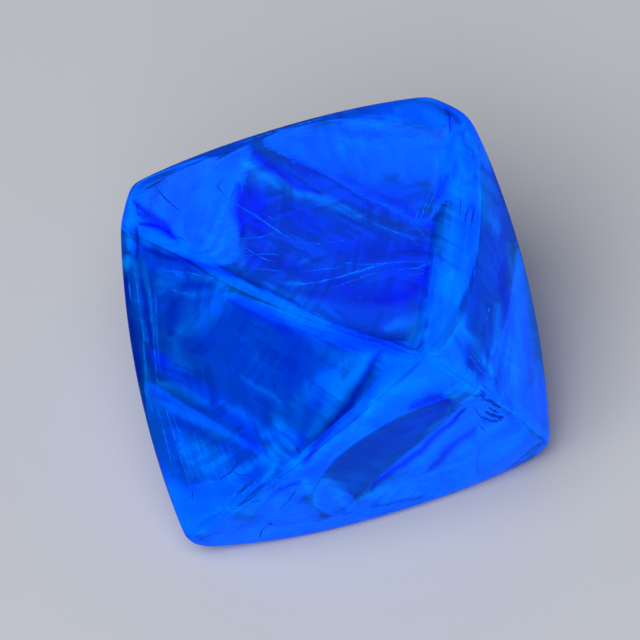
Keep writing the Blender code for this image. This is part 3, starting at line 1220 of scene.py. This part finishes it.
def diamond_material(settings):
    """Clear diamond with a faint painted glow over its surface, more painted glow in the bright bands and
    painted shade in the dark bands.
    """
    material, graph, shader = new_material("diamond")
    striae = graph.group(growth_lines(), position=graph.attribute("crystal_mm", "Vector"))
    bump = graph.out(
        "ShaderNodeBump", named={"Strength": 1.0, "Distance": STRIAE_HEIGHT * MM, "Height": striae}
    )
    uneven = graph.ramp(striae, *STRIAE_LIGHT)
    glow = graph.product(graph.attribute("glow"), uneven)
    blue = graph.product(graph.attribute("blue"), uneven)
    # Painted shade from the dark bands: it darkens the body colour and the glow below.
    painted_shade_factor = graph.attribute("painted_shade_factor", "Vector")
    painted_glow_base = graph.scale(tuple(settings.glow_colour), uneven)
    painted_glow_bands = graph.scale(tuple(settings.band_colour), glow)
    painted_glow_blue = graph.scale(tuple(settings.blue_colour), blue)
    light = graph.vector("MULTIPLY", graph.vector("ADD", painted_glow_base, painted_glow_bands), painted_shade_factor)
    # The painted shade darkens the body colour, so less light comes through the stone there.
    graph.feed(shader["Base Color"], graph.vector("MULTIPLY", tuple(settings.body_colour), painted_shade_factor))
    # All of the stone's emission is painted glow: the base glow, the bright bands and the blue bands.
    graph.feed(shader["Emission Color"], graph.vector("ADD", light, painted_glow_blue))
    graph.feed(shader["Normal"], bump)
    shader["Emission Strength"].default_value = 1.0
    shader["Roughness"].default_value = DIAMOND_ROUGHNESS
    shader["IOR"].default_value = DIAMOND_IOR
    shader["Transmission Weight"].default_value = 1.0
    shader["Specular Tint"].default_value = (*settings.mirror_colour, 1.0)
    material.cycles.emission_sampling = "NONE"
    return material


def mark_material(name, body, light, opacity):
    """Fine marks on the stone: uneven along their length, with painted glow, and partly see-through."""
    material, graph, shader = new_material(name)
    place = graph.node("ShaderNodeTexCoord").outputs["Object"]
    mask = graph.group(uneven_patches(), position=place, **MARK_PATCHES)
    graph.feed(shader["Base Color"], graph.scale(body, mask))
    # The marks' emission is painted glow: they give off light though they are no lamp.
    graph.feed(shader["Emission Color"], graph.scale(tuple(light), mask))
    graph.feed(shader["Alpha"], graph.product(mask, opacity))
    shader["Emission Strength"].default_value = 1.0
    shader["Roughness"].default_value = MARK_ROUGHNESS
    material.cycles.emission_sampling = "NONE"
    return material


def table_material(settings):
    """A pale table top, hardly uneven."""
    material, graph, shader = new_material("pale_table")
    place = graph.node("ShaderNodeTexCoord").outputs["Object"]
    mask = graph.group(uneven_patches(), position=place, **TABLE_PATCHES)
    graph.feed(shader["Base Color"], graph.scale(tuple(settings.floor_colour), mask))
    shader["Roughness"].default_value = TABLE_ROUGHNESS
    return material


# --- Camera and lights ---

FLOOR_GAP = 0.00002                      # the table lies this far below the base face
FLOOR_SIZE = 2.0
KEY_PLACE = (-0.06, -0.16, 0.20)
SHEET_PLACE = (0.0, 0.25, 0.25)
PANEL_SIZE = 0.20
ROOM_COLOUR = (0.8, 0.85, 1.0, 1.0)

# Light goes round many times in a crystal that mirrors it so well.
MOST_BOUNCES = 32
MOST_MIRRORINGS = 24


def add_camera():
    data = bpy.data.cameras.new("camera")
    data.sensor_width = SENSOR
    data.lens = SENSOR * FOCAL_PIXELS / VIEW_SIZE
    data.clip_start = 0.01
    data.clip_end = 10.0
    camera = bpy.data.objects.new("camera", data)
    camera.location = camera_place()
    camera.rotation_euler = camera_axes()[0].to_track_quat("Z", "Y").to_euler()
    bpy.context.scene.collection.objects.link(camera)
    bpy.context.scene.camera = camera


def add_panel(name, place, power):
    """A soft square light that looks at the stone."""
    data = bpy.data.lights.new(name, "AREA")
    data.size = PANEL_SIZE
    data.energy = power
    light = bpy.data.objects.new(name, data)
    light.location = place
    light.rotation_euler = Vector(place).to_track_quat("Z", "Y").to_euler()
    bpy.context.scene.collection.objects.link(light)
    return light


# --- Operators ---


def finish_piece(piece):
    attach(piece, "root")


def lay_lines(name, material, front, rear):
    """Lays tubes on the crystal, along the lines that the camera sees and the rear ones."""
    crystal, surface = finished_crystal()
    lines = itertools.chain(front_lines(surface, front), rear_lines(surface, *rear))
    routes = line_routes(name, lines)
    finish_piece(grow(name, line_tubes(), routes, crystal=crystal, material=material))


class DIAMOND_OT_crystal(bpy.types.Operator):
    """Grow the crystal: eight domed faces, their plateaus and the worn edges"""

    bl_idname = "diamond.crystal"
    bl_label = "Crystal"

    def execute(self, context):
        settings = context.scene.diamond_crystal_settings
        crystal = grow(
            "crystal",
            grown_octahedron(),
            detail=settings.detail,
            sharpness=settings.sharpness,
            steps=settings.steps,
            step_height=settings.step_height,
            material=diamond_material(settings),
        )
        # Paints the bands of glow and shade onto the crystal's points.
        store_bands(crystal)
        finish_piece(crystal)
        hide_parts("diamond_crystal")
        return {"FINISHED"}


class DIAMOND_OT_growth_lines(bpy.types.Operator):
    """Lay the fine bright growth lines on the crystal"""

    bl_idname = "diamond.growth_lines"
    bl_label = "Growth lines"

    def execute(self, context):
        settings = context.scene.diamond_mark_settings
        # The growth lines are bright through painted glow in their material.
        material = mark_material("growth_line", LINE_BODY, settings.line_colour, settings.line_opacity)
        lay_lines("growth_lines", material, BRIGHT_LINES, REAR_BRIGHT_LINES)
        return {"FINISHED"}


class DIAMOND_OT_cracks(bpy.types.Operator):
    """Lay the dark cracks and scratches on the crystal"""

    bl_idname = "diamond.cracks"
    bl_label = "Cracks"

    def execute(self, context):
        settings = context.scene.diamond_mark_settings
        # The cracks are dark tubes with a faint painted glow.
        material = mark_material("crack", CRACK_BODY, settings.crack_colour, settings.crack_opacity)
        lay_lines("cracks", material, DARK_LINES, REAR_DARK_LINES)
        return {"FINISHED"}


class DIAMOND_OT_specks(bpy.types.Operator):
    """Scatter small hillocks over the faces and pinpoints inside the stone"""

    bl_idname = "diamond.specks"
    bl_label = "Hillocks and pinpoints"

    def execute(self, context):
        settings = context.scene.diamond_mark_settings
        crystal, _ = finished_crystal()
        # The hillocks and pinpoints carry the same painted glow as the growth lines.
        material = mark_material("speck", SPECK_BODY, settings.line_colour, settings.line_opacity)
        for name, inputs in (("hillocks", {}), ("pinpoints", PINPOINTS)):
            finish_piece(grow(name, scattered_specks(), crystal=crystal, material=material, **inputs))
        return {"FINISHED"}


class DIAMOND_OT_stage(bpy.types.Operator):
    """Lay the pale table, set the soft lights and aim the camera"""

    bl_idname = "diamond.stage"
    bl_label = "Stage"

    def execute(self, context):
        scene = context.scene
        settings = scene.diamond_stage_settings
        bpy.ops.mesh.primitive_plane_add(size=FLOOR_SIZE, location=(0.0, 0.0, -FLOOR_GAP))
        table = context.object
        table.name = "table"
        table.data.materials.append(table_material(settings))
        table.visible_glossy = False
        table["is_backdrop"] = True
        key = add_panel("key", KEY_PLACE, settings.key_power)
        key.visible_glossy = False
        key.visible_transmission = False
        add_panel("rear_sheet", SHEET_PLACE, settings.sheet_power)
        world = bpy.data.worlds.new("room")
        world.use_nodes = True
        background = world.node_tree.nodes["Background"].inputs
        background["Color"].default_value = ROOM_COLOUR
        background["Strength"].default_value = settings.sky_strength
        scene.world = world
        scene.view_settings.view_transform = "Standard"
        scene.cycles.max_bounces = MOST_BOUNCES
        scene.cycles.transmission_bounces = MOST_BOUNCES
        scene.cycles.glossy_bounces = MOST_MIRRORINGS
        add_camera()
        return {"FINISHED"}


class DIAMOND_PT_panel(bpy.types.Panel):
    """Buttons that build the stone and its stage"""

    bl_idname = "DIAMOND_PT_panel"
    bl_label = "Rough Diamond"
    bl_space_type = "VIEW_3D"
    bl_region_type = "UI"
    bl_category = "Diamond"

    def draw(self, context):
        for name, group in SETTINGS.items():
            box = self.layout.box()
            box.label(text=group.__doc__)
            for title in group.__annotations__:
                box.prop(getattr(context.scene, name), title)
        for operator in OPERATORS:
            self.layout.operator(operator.bl_idname)


OPERATORS = (
    DIAMOND_OT_crystal,
    DIAMOND_OT_growth_lines,
    DIAMOND_OT_cracks,
    DIAMOND_OT_specks,
    DIAMOND_OT_stage,
)


def register():
    for name, group in SETTINGS.items():
        bpy.utils.register_class(group)
        setattr(bpy.types.Scene, name, PointerProperty(type=group))
    for kind in (*OPERATORS, DIAMOND_PT_panel):
        bpy.utils.register_class(kind)


def unregister():
    for kind in (DIAMOND_PT_panel, *reversed(OPERATORS)):
        bpy.utils.unregister_class(kind)
    for name, group in SETTINGS.items():
        delattr(bpy.types.Scene, name)
        bpy.utils.unregister_class(group)


def main():
    register()
    cad_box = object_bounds()
    bpy.ops.diamond.crystal()
    bpy.ops.diamond.growth_lines()
    bpy.ops.diamond.cracks()
    bpy.ops.diamond.specks()
    bpy.ops.diamond.stage()
    boxes = {"cad": cad_box, "visual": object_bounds()}
    plain = {name: [list(corner) for corner in box] for name, box in boxes.items()}


if __name__ == "__main__":
    main()
